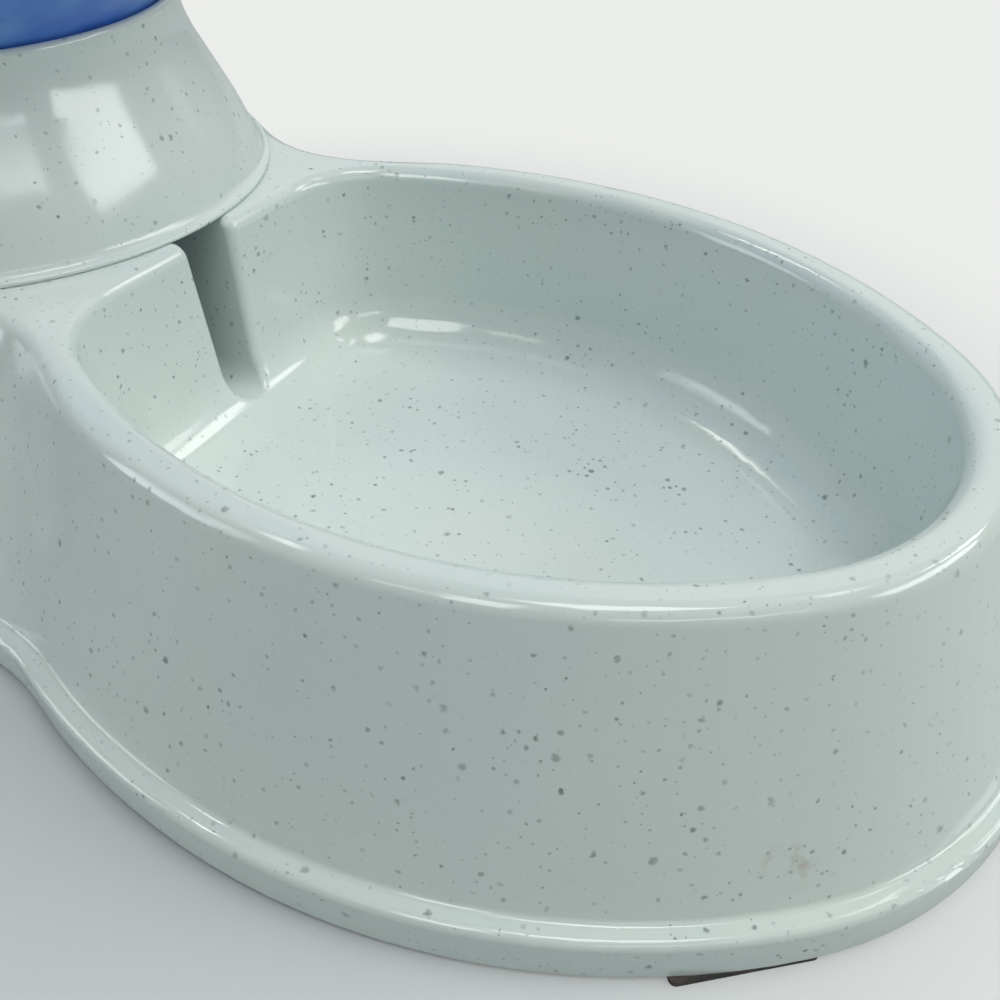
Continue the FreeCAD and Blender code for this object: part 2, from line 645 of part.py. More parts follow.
def valve_seal():
    """Soft washer under the plunger's head."""
    return ring(SEAL_RADIUS, VALVE_HOLE_RADIUS - STEM_CLEARANCE + SEAL_HOLE_CLEARANCE, SEAL_BOTTOM, HEAD_BOTTOM)


def valve_spring():
    """Coil spring between the plunger's head and the top of its cage."""
    height = SPRING_HEIGHT - SPRING_WIRE - 2.0 * SPRING_PLAY
    helix = Part.makeHelix(height / SPRING_TURNS, height, SPRING_RADIUS)
    corners = []
    for index in range(SPRING_WIRE_SIDES):
        angle = 2.0 * math.pi * index / SPRING_WIRE_SIDES
        across_wire = SPRING_WIRE / 2.0 * math.cos(angle)
        up_wire = SPRING_WIRE / 2.0 * math.sin(angle)
        corners.append(Vector(SPRING_RADIUS + across_wire, 0, up_wire))
    section = Part.Wire(polygon_edges(corners))
    coil = Part.Wire(helix).makePipeShell([section], True, True)
    coil.translate(Vector(0, WELL_Y, HEAD_TOP + SPRING_PLAY + SPRING_WIRE / 2.0))
    return coil


def spring_cage():
    """Cage that stands on the cap's plate and guides the plunger's pin."""
    base_ring = ring(
        CAGE_RADIUS, CAGE_RADIUS - CAGE_RING_WIDTH, CAP_PLATE_TOP, CAP_PLATE_TOP + CAGE_RING_THICKNESS
    )
    half = CAGE_ARM_WIDTH / 2.0
    leg_outer = CAGE_RADIUS - CAGE_LEG_INSET
    leg_inner = CAGE_RADIUS - CAGE_RING_WIDTH + CAGE_LEG_INSET
    root = CAGE_HUB_RADIUS - CAGE_RING_WIDTH
    corners = [
        Vector(root, -half, CAGE_TOP_BOTTOM),
        Vector(leg_inner, -half, CAGE_TOP_BOTTOM),
        Vector(leg_inner, -half, CAP_PLATE_TOP + CAGE_LEG_INSET),
        Vector(leg_outer, -half, CAP_PLATE_TOP + CAGE_LEG_INSET),
        Vector(leg_outer, -half, CAGE_TOP),
        Vector(root, -half, CAGE_TOP),
    ]
    arm = Part.Face(Part.Wire(polygon_edges(corners))).extrude(Vector(0, CAGE_ARM_WIDTH, 0))
    arms = [around_axis(arm, 90.0 + index * 360.0 / CAGE_ARM_COUNT) for index in range(CAGE_ARM_COUNT)]
    hub = ring(CAGE_HUB_RADIUS, PIN_RADIUS + PIN_CLEARANCE, CAGE_TOP_BOTTOM, CAGE_TOP)
    return hub.fuse(arms + [base_ring]).removeSplitter()


def main():
    """Build every piece and write one file for each."""
    os.makedirs("parts", exist_ok=True)
    pieces = {
        "base": base(),
        "collar": collar(),
        "bottle": bottle(),
        "bottle_cap": bottle_cap(),
        "cap_gasket": cap_gasket(),
        "valve_plunger": valve_plunger(),
        "valve_seal": valve_seal(),
        "valve_spring": valve_spring(),
        "spring_cage": spring_cage(),
    }
    for name, (place, side) in PAD_PLACES.items():
        pieces[name] = pad_block(place, side, 0.0, 0.0, PAD_THICKNESS)
    for name, shape in pieces.items():
        shape.exportStep("parts/" + name + ".step")
        bounds = shape.BoundBox
        size = " x ".join(str(round(value, 1)) for value in (bounds.XLength, bounds.YLength, bounds.ZLength))
        print(name, "valid" if shape.isValid() else "NOT VALID", len(shape.Solids), size, round(shape.Volume))


main()
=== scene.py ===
import logging
import math
from dataclasses import dataclass, field
from enum import Enum

import bmesh
import bpy
from mathutils import Matrix, Vector


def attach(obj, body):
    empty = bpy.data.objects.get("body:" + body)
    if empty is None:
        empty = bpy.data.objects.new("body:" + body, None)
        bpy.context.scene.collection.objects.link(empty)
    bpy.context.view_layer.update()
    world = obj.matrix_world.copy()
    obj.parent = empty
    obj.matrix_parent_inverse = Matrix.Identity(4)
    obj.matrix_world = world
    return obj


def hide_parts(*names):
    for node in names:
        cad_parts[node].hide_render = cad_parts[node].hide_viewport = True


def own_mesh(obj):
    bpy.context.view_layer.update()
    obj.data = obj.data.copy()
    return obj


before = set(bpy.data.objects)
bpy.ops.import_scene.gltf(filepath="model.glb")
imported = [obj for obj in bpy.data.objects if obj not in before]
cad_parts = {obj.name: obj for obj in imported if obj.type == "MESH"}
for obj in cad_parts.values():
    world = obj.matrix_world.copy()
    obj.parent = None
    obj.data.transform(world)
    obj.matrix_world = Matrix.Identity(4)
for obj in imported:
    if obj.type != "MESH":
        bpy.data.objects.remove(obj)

LOG = logging.getLogger("water_dispenser")
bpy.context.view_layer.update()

Colour = tuple[float, float, float]
Place = tuple[float, float, float]
Range = tuple[float, float]
Socket = bpy.types.NodeSocket
Mesh = bpy.types.Object

# Sockets of the Mix node when it mixes colours
MIX_FACTOR = 0
MIX_COLOURS = (6, 7)
MIX_RESULT = 2

# Form of the moulded specks: scale of their outline's noise, least size and spread of size as
# shares of the largest radius, and where their edge starts and ends as shares of their own
SPECK_OUTLINE_SCALE = 900.0
SPECK_SMALLEST = 0.3
SPECK_SIZE_SPREAD = 0.75
SPECK_EDGE: Range = (0.4, 1.25)

# Noise: its middle colour, and the range that holds nearly all of its values
NOISE_MIDDLE: Colour = (0.5, 0.5, 0.5)
NOISE_RANGE: Range = (0.3, 0.7)

# A rubbed patch: how it fades from its rim inwards, and the noise values that make its flecks
PATCH_FADE: Range = (0.0, 0.9)
PATCH_FLECKS: Range = (0.45, 0.68)

PLASTIC_IOR = 1.5


class Bodies(Enum):
    """The bodies of the model that pieces ride on."""

    STAND = "stand"


class Slots(Enum):
    """The record's finishes."""

    SPECKLED = "speckled_plastic"
    BOTTLE = "bottle_plastic"
    CAP = "cap_plastic"
    VALVE = "valve_plastic"
    STEEL = "spring_steel"
    RUBBER = "rubber"


# Helpers for shader nodes


class NodeSheet:
    """Adds nodes to one node tree and joins them."""

    def __init__(self, tree: bpy.types.NodeTree) -> None:
        """Start on a tree.

        Args:
            tree: The material's tree or the group's tree to fill.
        """
        self.tree = tree

    def add(self, kind: str, **settings: object) -> bpy.types.Node:
        """Add one node.

        Args:
            kind: Blender's name of the node's type.
            **settings: Properties of the node to set.

        Returns:
            The new node.
        """
        node = self.tree.nodes.new(kind)
        for name, value in settings.items():
            setattr(node, name, value)
        return node

    def join(self, start: Socket, end: Socket) -> None:
        """Link an output to an input."""
        self.tree.links.new(start, end)

    def feed(self, node: bpy.types.Node, **values: object) -> bpy.types.Node:
        """Set or link a node's inputs by name, with underscores for spaces.

        Args:
            node: The node whose inputs are fed.
            **values: A socket to link, or a plain value to set.

        Returns:
            The same node.
        """
        for name, value in values.items():
            target = node.inputs[name.replace("_", " ")]
            if isinstance(value, bpy.types.NodeSocket):
                self.join(value, target)
            else:
                target.default_value = value
        return node

    def math(
        self, operation: str, first: object, second: object, third: object = 0.5
    ) -> Socket:
        """Add a Math node.

        Args:
            operation: The node's operation.
            first: A socket or a number.
            second: A socket or a number.
            third: A socket or a number, for the operations that take three.

        Returns:
            The result's socket.
        """
        node = self.add("ShaderNodeMath", operation=operation)
        for index, value in enumerate((first, second, third)):
            if isinstance(value, bpy.types.NodeSocket):
                self.join(value, node.inputs[index])
            else:
                node.inputs[index].default_value = value
        return node.outputs[0]

    def span(
        self, value: Socket, low: float, high: float, to_low: float = 0.0, to_high: float = 1.0
    ) -> Socket:
        """Map a value smoothly from one range to another, clamped.

        Args:
            value: The value to map.
            low: Start of the range it comes from.
            high: End of the range it comes from.
            to_low: Result at the start.
            to_high: Result at the end.

        Returns:
            The result's socket.
        """
        node = self.add("ShaderNodeMapRange", interpolation_type="SMOOTHSTEP")
        self.feed(node, Value=value, From_Min=low, From_Max=high, To_Min=to_low, To_Max=to_high)
        return node.outputs["Result"]

    def blend(self, factor: Socket, first: object, second: object) -> Socket:
        """Mix two colours.

        Args:
            factor: The second colour's share, from 0 to 1.
            first: A colour's socket or the colour itself.
            second: A colour's socket or the colour itself.

        Returns:
            The mixed colour's socket.
        """
        node = self.add("ShaderNodeMix", data_type="RGBA")
        self.join(factor, node.inputs[MIX_FACTOR])
        for index, value in zip(MIX_COLOURS, (first, second)):
            if isinstance(value, bpy.types.NodeSocket):
                self.join(value, node.inputs[index])
            else:
                node.inputs[index].default_value = (*value, 1.0)
        return node.outputs[MIX_RESULT]

    def bump(self, height: Socket, strength: float, depth: float) -> Socket:
        """Bend the surface's normal by a height.

        Args:
            height: The height's value, from 0 to 1.
            strength: The bend's share, from 0 to 1.
            depth: What a height of 1 stands for, in metres.

        Returns:
            The normal's socket.
        """
        node = self.add("ShaderNodeBump")
        self.feed(node, Strength=strength, Distance=depth, Height=height)
        return node.outputs["Normal"]


class EffectGroup:
    """A shader node group with named sockets, built once and placed in many materials."""

    def __init__(
        self, name: str, inputs: dict[str, tuple[str, object]], outputs: dict[str, str]
    ) -> None:
        """Make the group's tree and its sockets.

        Args:
            name: The group's name.
            inputs: Socket kind and starting value by socket name.
            outputs: Socket kind by socket name.
        """
        self.tree = bpy.data.node_groups.new(name, "ShaderNodeTree")
        for label, (kind, value) in inputs.items():
            made = self.tree.interface.new_socket(label, in_out="INPUT", socket_type=kind)
            made.default_value = value
        for label, kind in outputs.items():
            self.tree.interface.new_socket(label, in_out="OUTPUT", socket_type=kind)
        self.sheet = NodeSheet(self.tree)
        self.entry = self.sheet.add("NodeGroupInput")
        self.exit = self.sheet.add("NodeGroupOutput")

    def place(self, sheet: NodeSheet, **values: object) -> bpy.types.Node:
        """Place the group in a material.

        Args:
            sheet: The material's sheet.
            **values: Inputs of the group to set or link.

        Returns:
            The group's node.
        """
        node = sheet.add("ShaderNodeGroup", node_tree=self.tree)
        return sheet.feed(node, **values)


def object_coordinates(sheet: NodeSheet) -> Socket:
    """The object's own coordinates, in metres."""
    return sheet.add("ShaderNodeTexCoord").outputs["Object"]


def make_speck_group() -> EffectGroup:
    """Dark specks moulded into the plastic: cells whose nearest grain shows at the surface.

    Returns:
        The group, with a mask of 1 inside a speck.
    """
    group = EffectGroup(
        "moulded_specks",
        {
            "Cells": ("NodeSocketFloat", 370.0),
            "Grain": ("NodeSocketFloat", 0.18),
            "Share": ("NodeSocketFloat", 0.6),
            "Raggedness": ("NodeSocketFloat", 0.0006),
        },
        {"Mask": "NodeSocketFloat", "Tone": "NodeSocketFloat"},
    )
    sheet, entry = group.sheet, group.entry
    place = object_coordinates(sheet)
    ragged = sheet.add("ShaderNodeTexNoise", noise_dimensions="3D")
    sheet.feed(ragged, Vector=place, Scale=SPECK_OUTLINE_SCALE, Detail=1.0)
    centred = sheet.add("ShaderNodeVectorMath", operation="SUBTRACT")
    sheet.join(ragged.outputs["Color"], centred.inputs[0])
    centred.inputs[1].default_value = NOISE_MIDDLE
    pushed = sheet.add("ShaderNodeVectorMath", operation="MULTIPLY_ADD")
    sheet.join(centred.outputs[0], pushed.inputs[0])
    sheet.join(entry.outputs["Raggedness"], pushed.inputs[1])
    sheet.join(place, pushed.inputs[2])
    cells = sheet.add("ShaderNodeTexVoronoi", voronoi_dimensions="3D", feature="F1")
    sheet.feed(cells, Vector=pushed.outputs[0], Scale=entry.outputs["Cells"], Randomness=1.0)
    parts = sheet.add("ShaderNodeSeparateColor")
    sheet.join(cells.outputs["Color"], parts.inputs[0])
    kept = sheet.math("LESS_THAN", parts.outputs[0], entry.outputs["Share"])
    drawn = sheet.math("POWER", parts.outputs[1], 2.0)
    size = sheet.math("MULTIPLY_ADD", drawn, SPECK_SIZE_SPREAD, SPECK_SMALLEST)
    reach = sheet.math("MULTIPLY", size, entry.outputs["Grain"])
    depth = sheet.math("DIVIDE", cells.outputs["Distance"], reach)
    grain = sheet.span(depth, *SPECK_EDGE, 1.0, 0.0)
    sheet.join(sheet.math("MULTIPLY", grain, kept), group.exit.inputs["Mask"])
    sheet.join(parts.outputs[2], group.exit.inputs["Tone"])
    return group


def make_cloud_group() -> EffectGroup:
    """Slow, uneven change over a surface, as in a moulded or handled plastic.

    Returns:
        The group, with a value near 0.5 that wanders.
    """
    group = EffectGroup(
        "slow_clouding",
        {"Size": ("NodeSocketFloat", 12.0), "Stretch": ("NodeSocketVector", (1.0, 1.0, 1.0))},
        {"Value": "NodeSocketFloat"},
    )
    sheet, entry = group.sheet, group.entry
    stretched = sheet.add("ShaderNodeVectorMath", operation="MULTIPLY")
    sheet.join(object_coordinates(sheet), stretched.inputs[0])
    sheet.join(entry.outputs["Stretch"], stretched.inputs[1])
    noise = sheet.add("ShaderNodeTexNoise", noise_dimensions="3D")
    sheet.feed(noise, Vector=stretched.outputs[0], Scale=entry.outputs["Size"])
    sheet.feed(noise, Detail=3.0, Roughness=0.55)
    sheet.join(noise.outputs["Fac"], group.exit.inputs["Value"])
    return group


def make_patch_group() -> EffectGroup:
    """A soft round patch at one place, broken up by noise, for a rubbed or soiled spot.

    Returns:
        The group, with a mask of 1 at the patch's middle.
    """
    group = EffectGroup(
        "rubbed_patch",
        {
            "Middle": ("NodeSocketVector", (0.0, 0.0, 0.0)),
            "Reach": ("NodeSocketFloat", 0.02),
            "Breakup": ("NodeSocketFloat", 160.0),
        },
        {"Mask": "NodeSocketFloat"},
    )
    sheet, entry = group.sheet, group.entry
    place = object_coordinates(sheet)
    away = sheet.add("ShaderNodeVectorMath", operation="DISTANCE")
    sheet.join(place, away.inputs[0])
    sheet.join(entry.outputs["Middle"], away.inputs[1])
    reached = sheet.math("DIVIDE", away.outputs["Value"], entry.outputs["Reach"])
    near = sheet.math("SUBTRACT", 1.0, reached)
    noise = sheet.add("ShaderNodeTexNoise", noise_dimensions="3D")
    sheet.feed(noise, Vector=place, Scale=entry.outputs["Breakup"], Detail=4.0, Roughness=0.6)
    flecks = sheet.span(noise.outputs["Fac"], *PATCH_FLECKS)
    broken = sheet.math("MULTIPLY", sheet.span(near, *PATCH_FADE), flecks)
    sheet.join(broken, group.exit.inputs["Mask"])
    return group


class Effects:
    """The shared effects of all materials."""

    def __init__(self) -> None:
        """Build each effect's group once."""
        self.specks = make_speck_group()
        self.clouds = make_cloud_group()
        self.patch = make_patch_group()


# Finishes


def new_material(name: str) -> tuple[bpy.types.Material, NodeSheet, bpy.types.Node]:
    """Make an empty material with one main shader.

    Args:
        name: The material's name.

    Returns:
        The material, its sheet and its main shader node.
    """
    material = bpy.data.materials.new(name)
    material.use_nodes = True
    material.node_tree.nodes.clear()
    sheet = NodeSheet(material.node_tree)
    shader = sheet.add("ShaderNodeBsdfPrincipled")
    output = sheet.add("ShaderNodeOutputMaterial")
    sheet.join(shader.outputs["BSDF"], output.inputs["Surface"])
    return material, sheet, shader


@dataclass(frozen=True)
class SpeckLayer:
    """One size of specks: their spacing and largest radius in metres, and how many and how dark."""

    spacing: float
    radius: float
    share: float
    strength: float


@dataclass(frozen=True)
class SpeckledPlastic:
    """Pale glossy plastic with dark specks moulded in."""

    body: Colour = (0.67, 0.75, 0.715)
    cool_body: Colour = (0.64, 0.735, 0.715)
    speck: Colour = (0.05, 0.085, 0.085)
    light_speck: Colour = (0.26, 0.33, 0.33)
    scuff: Colour = (0.34, 0.24, 0.17)
    scuff_place: Place = (-0.0649, -0.1720, 0.0225)
    scuff_reach: float = 0.008
    scuff_breakup: float = 230.0
    scuff_strength: float = 0.5
    clouding_size: float = 14.0
    clouding: Range = (0.35, 0.65)
    haze_size: float = 45.0
    haze_strength: float = 0.02
    haze_depth: float = 0.001
    roughness: Range = (0.06, 0.16)
    raggedness: float = 1.2
    gathering_size: float = 65.0
    gathering: Range = (0.40, 0.58)
    thinnest: float = 0.5
    layers: tuple[SpeckLayer, ...] = (
        SpeckLayer(0.0020, 0.00036, 0.7, 0.5),
        SpeckLayer(0.0025, 0.00064, 0.85, 0.66),
        SpeckLayer(0.0050, 0.00098, 0.7, 0.72),
    )

    def material(self, effects: Effects) -> bpy.types.Material:
        """Build the material.

        Args:
            effects: The shared effects.

        Returns:
            The speckled plastic.
        """
        material, sheet, shader = new_material("speckled_plastic")
        clouds = effects.clouds.place(sheet, Size=self.clouding_size).outputs["Value"]
        colour = sheet.blend(sheet.span(clouds, *self.clouding), self.body, self.cool_body)
        scuffed = effects.patch.place(
            sheet, Middle=self.scuff_place, Reach=self.scuff_reach, Breakup=self.scuff_breakup
        )
        rubbed = sheet.math("MULTIPLY", scuffed.outputs["Mask"], self.scuff_strength)
        colour = sheet.blend(rubbed, colour, self.scuff)
        gathering = effects.clouds.place(sheet, Size=self.gathering_size).outputs["Value"]
        gathered = sheet.span(gathering, *self.gathering, self.thinnest, 1.0)
        for layer in self.layers:
            grains = effects.specks.place(
                sheet,
                Cells=1.0 / layer.spacing,
                Grain=layer.radius / layer.spacing,
                Share=layer.share,
                Raggedness=layer.radius * self.raggedness,
            )
            tone = sheet.blend(grains.outputs["Tone"], self.speck, self.light_speck)
            shown = sheet.math("MULTIPLY", grains.outputs["Mask"], layer.strength)
            colour = sheet.blend(sheet.math("MULTIPLY", shown, gathered), colour, tone)
        haze = effects.clouds.place(sheet, Size=self.haze_size).outputs["Value"]
        normal = sheet.bump(haze, self.haze_strength, self.haze_depth)
        sheet.feed(shader, Base_Color=colour, IOR=PLASTIC_IOR, Normal=normal)
        sheet.feed(shader, Roughness=sheet.span(haze, *NOISE_RANGE, *self.roughness))
        return material


@dataclass(frozen=True)
class BottlePlastic:
    """Translucent deep blue plastic with cloudy streaks."""

    deep: Colour = (0.09, 0.28, 0.84)
    pale: Colour = (0.22, 0.50, 0.98)
    streak_size: float = 34.0
    streak_stretch: Place = (1.0, 1.0, 2.0)
    streaking: Range = (0.38, 0.75)
    roughness: Range = (0.12, 0.22)
    ior: float = 1.45
    transmission: float = 0.45

    def material(self, effects: Effects) -> bpy.types.Material:
        """Build the material.

        Args:
            effects: The shared effects.

        Returns:
            The bottle's plastic.
        """
        material, sheet, shader = new_material("bottle_plastic")
        clouds = effects.clouds.place(sheet, Size=self.streak_size, Stretch=self.streak_stretch)
        streaks = clouds.outputs["Value"]
        colour = sheet.blend(sheet.span(streaks, *self.streaking), self.deep, self.pale)
        sheet.feed(shader, Base_Color=colour, IOR=self.ior, Transmission_Weight=self.transmission)
        sheet.feed(shader, Roughness=sheet.span(streaks, *NOISE_RANGE, *self.roughness))
        return material


@dataclass(frozen=True)
class PlainPlastic:
    """Plain moulded plastic for the cap and the valve."""

    name: str
    body: Colour
    worn: Colour
    roughness: Range = (0.35, 0.48)
    wear_size: float = 60.0
    wearing: Range = (0.35, 0.7)
    grain_size: float = 900.0
    grain_strength: float = 0.12
    grain_depth: float = 0.0002

    def material(self, effects: Effects) -> bpy.types.Material:
        """Build the material.

        Args:
            effects: The shared effects.

        Returns:
            The plain plastic.
        """
        material, sheet, shader = new_material(self.name)
        wear = effects.clouds.place(sheet, Size=self.wear_size).outputs["Value"]
        colour = sheet.blend(sheet.span(wear, *self.wearing), self.body, self.worn)
        grain = effects.clouds.place(sheet, Size=self.grain_size).outputs["Value"]
        normal = sheet.bump(grain, self.grain_strength, self.grain_depth)
        sheet.feed(shader, Base_Color=colour, IOR=PLASTIC_IOR, Normal=normal)
        sheet.feed(shader, Roughness=sheet.span(wear, *NOISE_RANGE, *self.roughness))
        return material


@dataclass(frozen=True)
class Rubber:
    """Dark rubber with a fine dusty skin."""

    body: Colour = (0.022, 0.018, 0.016)
    dusty: Colour = (0.075, 0.062, 0.052)
    roughness: Range = (0.6, 0.85)
    dust_size: float = 350.0
    dusting: Range = (0.4, 0.75)
    grain_size: float = 1500.0
    grain_strength: float = 0.3
    grain_depth: float = 0.0002

    def material(self, effects: Effects) -> bpy.types.Material:
        """Build the material.

        Args:
            effects: The shared effects.

        Returns:
            The rubber.
        """
        material, sheet, shader = new_material("rubber")
        dust = effects.clouds.place(sheet, Size=self.dust_size).outputs["Value"]
        grain = effects.clouds.place(sheet, Size=self.grain_size).outputs["Value"]
        colour = sheet.blend(sheet.span(dust, *self.dusting), self.body, self.dusty)
        normal = sheet.bump(grain, self.grain_strength, self.grain_depth)
        sheet.feed(shader, Base_Color=colour, IOR=PLASTIC_IOR, Normal=normal)
        sheet.feed(shader, Roughness=sheet.span(dust, *NOISE_RANGE, *self.roughness))
        return material


@dataclass(frozen=True)
class SpringSteel:
    """Drawn steel wire."""

    body: Colour = (0.55, 0.55, 0.56)
    dull: Colour = (0.36, 0.35, 0.34)
    roughness: Range = (0.28, 0.48)
    dulling_size: float = 500.0
    dulled: Range = (0.4, 0.7)

    def material(self, effects: Effects) -> bpy.types.Material:
        """Build the material.

        Args:
            effects: The shared effects.

        Returns:
            The steel.
        """
        material, sheet, shader = new_material("spring_steel")
        dulling = effects.clouds.place(sheet, Size=self.dulling_size).outputs["Value"]
        colour = sheet.blend(sheet.span(dulling, *self.dulled), self.body, self.dull)
        sheet.feed(shader, Base_Color=colour, Metallic=1.0)
        sheet.feed(shader, Roughness=sheet.span(dulling, *NOISE_RANGE, *self.roughness))
        return material


# Pieces


def dress(piece: Mesh, material: bpy.types.Material) -> None:
    """Give a piece one material.

    Args:
        piece: The object to dress.
        material: Its material.
    """
    if not piece.data.materials:
        piece.data.materials.append(material)
    for index in range(len(piece.data.materials)):
        piece.data.materials[index] = material
    for place in piece.material_slots:
        place.material = material


@dataclass
class SmoothShell:
    """A solid's surface merged and shaded smoothly, standing for the solid of the same form."""

    node: str
    body: Bodies
    slot: Slots
    sharp_angle: float = 32.0
    merge_distance: float = 0.00002
    normal_weight: int = 50

    def build(self) -> Mesh:
        """Copy the solid's mesh, merge it and shade it.

        Returns:
            The new piece.
        """
        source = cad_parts[self.node]
        shell = bmesh.new()
        shell.from_mesh(source.data)
        bmesh.ops.remove_doubles(shell, verts=shell.verts, dist=self.merge_distance)
        for face in shell.faces:
            face.smooth = True
        limit = math.radians(self.sharp_angle)
        for edge in shell.edges:
            edge.smooth = edge.is_manifold and edge.calc_face_angle(0.0) < limit
        mesh = bpy.data.meshes.new(self.node + "_shell")
        shell.to_mesh(mesh)
        shell.free()
        piece = bpy.data.objects.new(self.node + "_shell", mesh)
        bpy.context.scene.collection.objects.link(piece)
        weighted = piece.modifiers.new("weighted_normals", "WEIGHTED_NORMAL")
        weighted.keep_sharp = True
        weighted.weight = self.normal_weight
        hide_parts(self.node)
        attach(piece, self.body.value)
        return piece


@dataclass
class SpringCoil(SmoothShell):
    """A coil, copied with a mesh of its own."""

    joint: str = "valve_slide"
    wound_along: Place = (0.0, 0.0, 1.0)
    fixed_end: Place = (0.0, 0.1021, 0.0791)
    shortest_share: float = 0.79

    def build(self) -> Mesh:
        """Copy the coil and give it a mesh of its own.

        Returns:
            The new piece.
        """
        piece = super().build()
        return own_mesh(piece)


# Studio


def bearing(azimuth_deg: float, elevation_deg: float) -> Vector:
    """The direction from the object towards a lamp or the camera.

    Args:
        azimuth_deg: Angle round the object from its front towards its right.
        elevation_deg: Angle above the floor.

    Returns:
        A vector of length 1.
    """
    azimuth = math.radians(azimuth_deg)
    elevation = math.radians(elevation_deg)
    level = math.cos(elevation)
    return Vector((math.sin(azimuth) * level, -math.cos(azimuth) * level, math.sin(elevation)))


def seen_directly(sheet: NodeSheet) -> Socket:
    """A mask of 1 for what the camera sees, straight on or through the bottle."""
    path = sheet.add("ShaderNodeLightPath").outputs
    return sheet.math("MAXIMUM", path["Is Camera Ray"], path["Is Transmission Ray"])


@dataclass(frozen=True)
class Softbox:
    """One rectangular lamp, placed and sized by the angles at which the object sees it.

    A lamp that doesn't fill shows only as a reflection in what is glossy. One that doesn't
    show only fills.
    """

    name: str
    azimuth_deg: float
    elevation_deg: float
    width_deg: float
    height_deg: float
    glow: float
    colour: Colour
    fills: bool = True
    shows: bool = True
    distance: float = 1.7
    target: Place = (0.0, 0.0, 0.08)

    def build(self) -> bpy.types.Object:
        """Hang the lamp.

        Returns:
            The lamp's object.
        """
        away = bearing(self.azimuth_deg, self.elevation_deg)
        lamp = bpy.data.lights.new(self.name, "AREA")
        lamp.shape = "RECTANGLE"
        lamp.size = 2.0 * self.distance * math.tan(math.radians(self.width_deg / 2.0))
        lamp.size_y = 2.0 * self.distance * math.tan(math.radians(self.height_deg / 2.0))
        lamp.energy = self.glow * math.pi * lamp.size * lamp.size_y
        lamp.color = self.colour
        hung = bpy.data.objects.new(self.name, lamp)
        place = Vector(self.target) + away * self.distance
        facing = (-away).to_track_quat("-Z", "Y").to_matrix().to_4x4()
        hung.matrix_world = Matrix.Translation(place) @ facing
        hung.visible_diffuse = self.fills
        hung.visible_glossy = self.shows
        bpy.context.scene.collection.objects.link(hung)
        return hung


@dataclass
class Studio:
    """Pale floor, white surroundings and soft lamps."""

    floor_reach: float = 3.0
    floor_sides: int = 96
    floor_colour: Colour = (0.55, 0.59, 0.61)
    floor_roughness: float = 0.6
    far_colour: Colour = (0.83, 0.845, 0.825)
    fade_start: float = 0.12
    fade_end: float = 0.30
    ambient: Colour = (0.94, 1.0, 0.96)
    ambient_level: float = 0.13
    lamps: list[Softbox] = field(default_factory=list)

    def build_floor(self) -> None:
        """Lay the floor, which keeps the shadow near the object and fades into the backdrop."""
        shape = bmesh.new()
        bmesh.ops.create_circle(
            shape, cap_ends=True, segments=self.floor_sides, radius=self.floor_reach
        )
        mesh = bpy.data.meshes.new("floor")
        shape.to_mesh(mesh)
        shape.free()
        floor = bpy.data.objects.new("floor", mesh)
        bpy.context.scene.collection.objects.link(floor)
        material, sheet, shader = new_material("floor")
        sheet.feed(shader, Base_Color=(*self.floor_colour, 1.0), Roughness=self.floor_roughness)
        glow = sheet.add("ShaderNodeEmission")
        sheet.feed(glow, Color=(*self.far_colour, 1.0), Strength=1.0)
        away = sheet.add("ShaderNodeVectorMath", operation="LENGTH")
        sheet.join(object_coordinates(sheet), away.inputs[0])
        far = sheet.span(away.outputs["Value"], self.fade_start, self.fade_end)
        mix = sheet.add("ShaderNodeMixShader")
        sheet.join(sheet.math("MULTIPLY", far, seen_directly(sheet)), mix.inputs[0])
        sheet.join(shader.outputs["BSDF"], mix.inputs[1])
        sheet.join(glow.outputs["Emission"], mix.inputs[2])
        nodes = material.node_tree.nodes
        output = next(node for node in nodes if node.type == "OUTPUT_MATERIAL")
        sheet.join(mix.outputs[0], output.inputs["Surface"])
        dress(floor, material)

    def build_world(self) -> None:
        """Make the surroundings: a soft ambient light that looks white to the camera."""
        world = bpy.data.worlds.new("surroundings")
        world.use_nodes = True
        world.node_tree.nodes.clear()
        sheet = NodeSheet(world.node_tree)
        dim = sheet.add("ShaderNodeBackground")
        sheet.feed(dim, Color=(*self.ambient, 1.0), Strength=self.ambient_level)
        white = sheet.add("ShaderNodeBackground")
        sheet.feed(white, Color=(*self.far_colour, 1.0), Strength=1.0)
        mix = sheet.add("ShaderNodeMixShader")
        sheet.join(seen_directly(sheet), mix.inputs[0])
        sheet.join(dim.outputs[0], mix.inputs[1])
        sheet.join(white.outputs[0], mix.inputs[2])
        output = sheet.add("ShaderNodeOutputWorld")
        sheet.join(mix.outputs[0], output.inputs["Surface"])
        bpy.context.scene.world = world

    def build(self) -> None:
        """Build the whole studio."""
        self.build_floor()
        self.build_world()
        for lamp in self.lamps:
            lamp.build()


